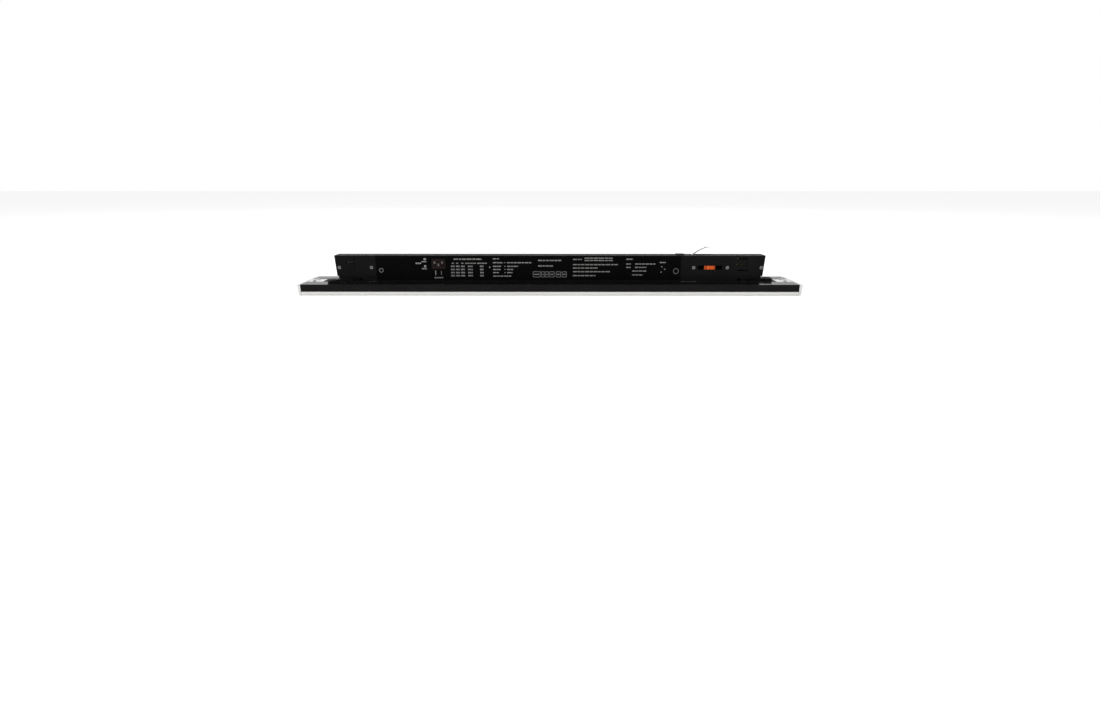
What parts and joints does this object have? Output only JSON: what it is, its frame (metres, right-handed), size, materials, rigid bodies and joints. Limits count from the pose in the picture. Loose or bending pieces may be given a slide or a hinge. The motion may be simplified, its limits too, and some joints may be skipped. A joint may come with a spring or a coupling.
{
  "type": "linear led track panel light",
  "caption": "Slim linear LED panel with opal diffuser and a long in-track driver adapter on its back, with latch levers, circuit selector and earth spring.",
  "frame": {"origin": "middle of the diffuser's outer face, at the lowest plane of the part", "axes": "+X along the length towards the contact head, -Y the labelled side, +Z from the light-giving face towards the track"},
  "size_m": [0.6, 0.064, 0.0548],
  "materials": {
    "opal": "satin opal, slightly translucent",
    "frame_black": "satin black powder coat on extruded aluminium",
    "plate_light": "pale satin metal",
    "board_white": "white solder mask with pale chips",
    "cap_white": "fine satin moulded",
    "fastener_steel": "zinc plated",
    "driver_black": "satin moulded",
    "label_black": "satin film, plain printed bars",
    "board_green": "solder mask",
    "coil_yellow": "tape-wound ferrite",
    "choke_grey": "ferrite",
    "capacitor_blue": "shrink sleeve",
    "switch_red": "dark red moulded",
    "switch_white": "white moulded",
    "terminal_green": "moulded",
    "grommet_rubber": "matte",
    "wire_red": "wire sleeve",
    "wire_black": "wire sleeve",
    "wire_brown": "wire sleeve",
    "wire_blue": "wire sleeve",
    "head_black": "fine spark-eroded texture",
    "rivet_steel": "rolled tubular rivet",
    "lever_black": "satin moulded",
    "contact_brass": "stamped",
    "slider_orange": "satin moulded orange",
    "spring_steel": "stamped spring strip"
  },
  "bodies": {
    "housing": {"diffuser": "opal", "front_rail": "frame_black", "rear_rail": "frame_black", "back_plate": "plate_light", "base_plate": "plate_light", "led_board_left": "board_white", "led_board_right": "board_white", "end_cap_right": "cap_white", "end_cap_left": "cap_white", "end_cap_screw_right_1": "fastener_steel", "end_cap_screw_right_2": "fastener_steel", "end_cap_screw_left_1": "fastener_steel", "end_cap_screw_left_2": "fastener_steel", "base_screw_1": "fastener_steel", "base_screw_2": "fastener_steel", "base_screw_3": "fastener_steel", "base_screw_4": "fastener_steel", "driver_base": "driver_black", "driver_cover": "driver_black", "driver_label": "label_black", "driver_board": "board_green", "driver_screw_1": "fastener_steel", "driver_screw_2": "fastener_steel", "seam_clip": "head_black", "transformer": "coil_yellow", "ring_choke": "choke_grey", "input_capacitor": "capacitor_blue", "output_capacitor": "capacitor_blue", "dip_switch_body": "switch_red", "output_terminal": "terminal_green", "grommet": "grommet_rubber", "output_lead_positive": "wire_red", "output_lead_negative": "wire_black", "latch_head_front": "head_black", "latch_head_rear": "head_black", "contact_head_front": "head_black", "contact_head_rear": "head_black", "head_rivet_1": "rivet_steel", "head_rivet_2": "rivet_steel", "head_rivet_3": "rivet_steel", "head_rivet_4": "rivet_steel", "head_rivet_5": "rivet_steel", "live_brush": "contact_brass", "neutral_brush": "contact_brass", "input_lead_live": "wire_brown", "input_lead_neutral": "wire_blue"},
    "latch": {"latch_lever": "lever_black", "latch_lug": "fastener_steel"},
    "contact_turn": {"contact_lever": "lever_black", "neutral_contact": "contact_brass"},
    "carriage": {"phase_carriage": "switch_white", "phase_contact": "contact_brass"},
    "selector": {"phase_slider": "slider_orange"},
    "spring": {"earth_spring": "spring_steel"},
    "dip_1": {"dip_actuator_1": "switch_white"},
    "dip_2": {"dip_actuator_2": "switch_white"},
    "dip_3": {"dip_actuator_3": "switch_white"}
  },
  "joints": [
    {"name": "latch_lever_turn", "type": "hinge", "parent": "housing", "child": "latch", "pos_m": [-0.236, 0, 0.0163], "axis": [0, 0, 1], "range_deg": [-30, 60]},
    {"name": "contact_lever_turn", "type": "hinge", "parent": "housing", "child": "contact_turn", "pos_m": [0.236, 0, 0.0163], "axis": [0, 0, 1], "range_deg": [0, 90]},
    {"name": "circuit_selector_slide", "type": "slide", "parent": "housing", "child": "selector", "axis": [1, 0, 0], "range_m": [-0.0095, 0.0095]},
    {"name": "phase_carriage_slide", "type": "slide", "parent": "contact_turn", "child": "carriage", "axis": [0, 0, 1], "range_m": [-0.0071, 0.0071]},
    {"name": "earth_spring_press", "type": "hinge", "parent": "housing", "child": "spring", "pos_m": [0.173, 0, 0.0444], "axis": [0, 1, 0], "range_deg": [0, 22], "stiffness_Nm_per_rad": 0.05},
    {"name": "dip_1_slide", "type": "slide", "parent": "housing", "child": "dip_1", "axis": [0, 0, 1], "range_m": [-0.0026, 0]},
    {"name": "dip_2_slide", "type": "slide", "parent": "housing", "child": "dip_2", "axis": [0, 0, 1], "range_m": [0, 0.0026]},
    {"name": "dip_3_slide", "type": "slide", "parent": "housing", "child": "dip_3", "axis": [0, 0, 1], "range_m": [-0.0026, 0]}
  ],
  "couplings": [
    {"joint": "phase_carriage_slide", "follows": "circuit_selector_slide", "ratio": 0.7368}
  ]
}
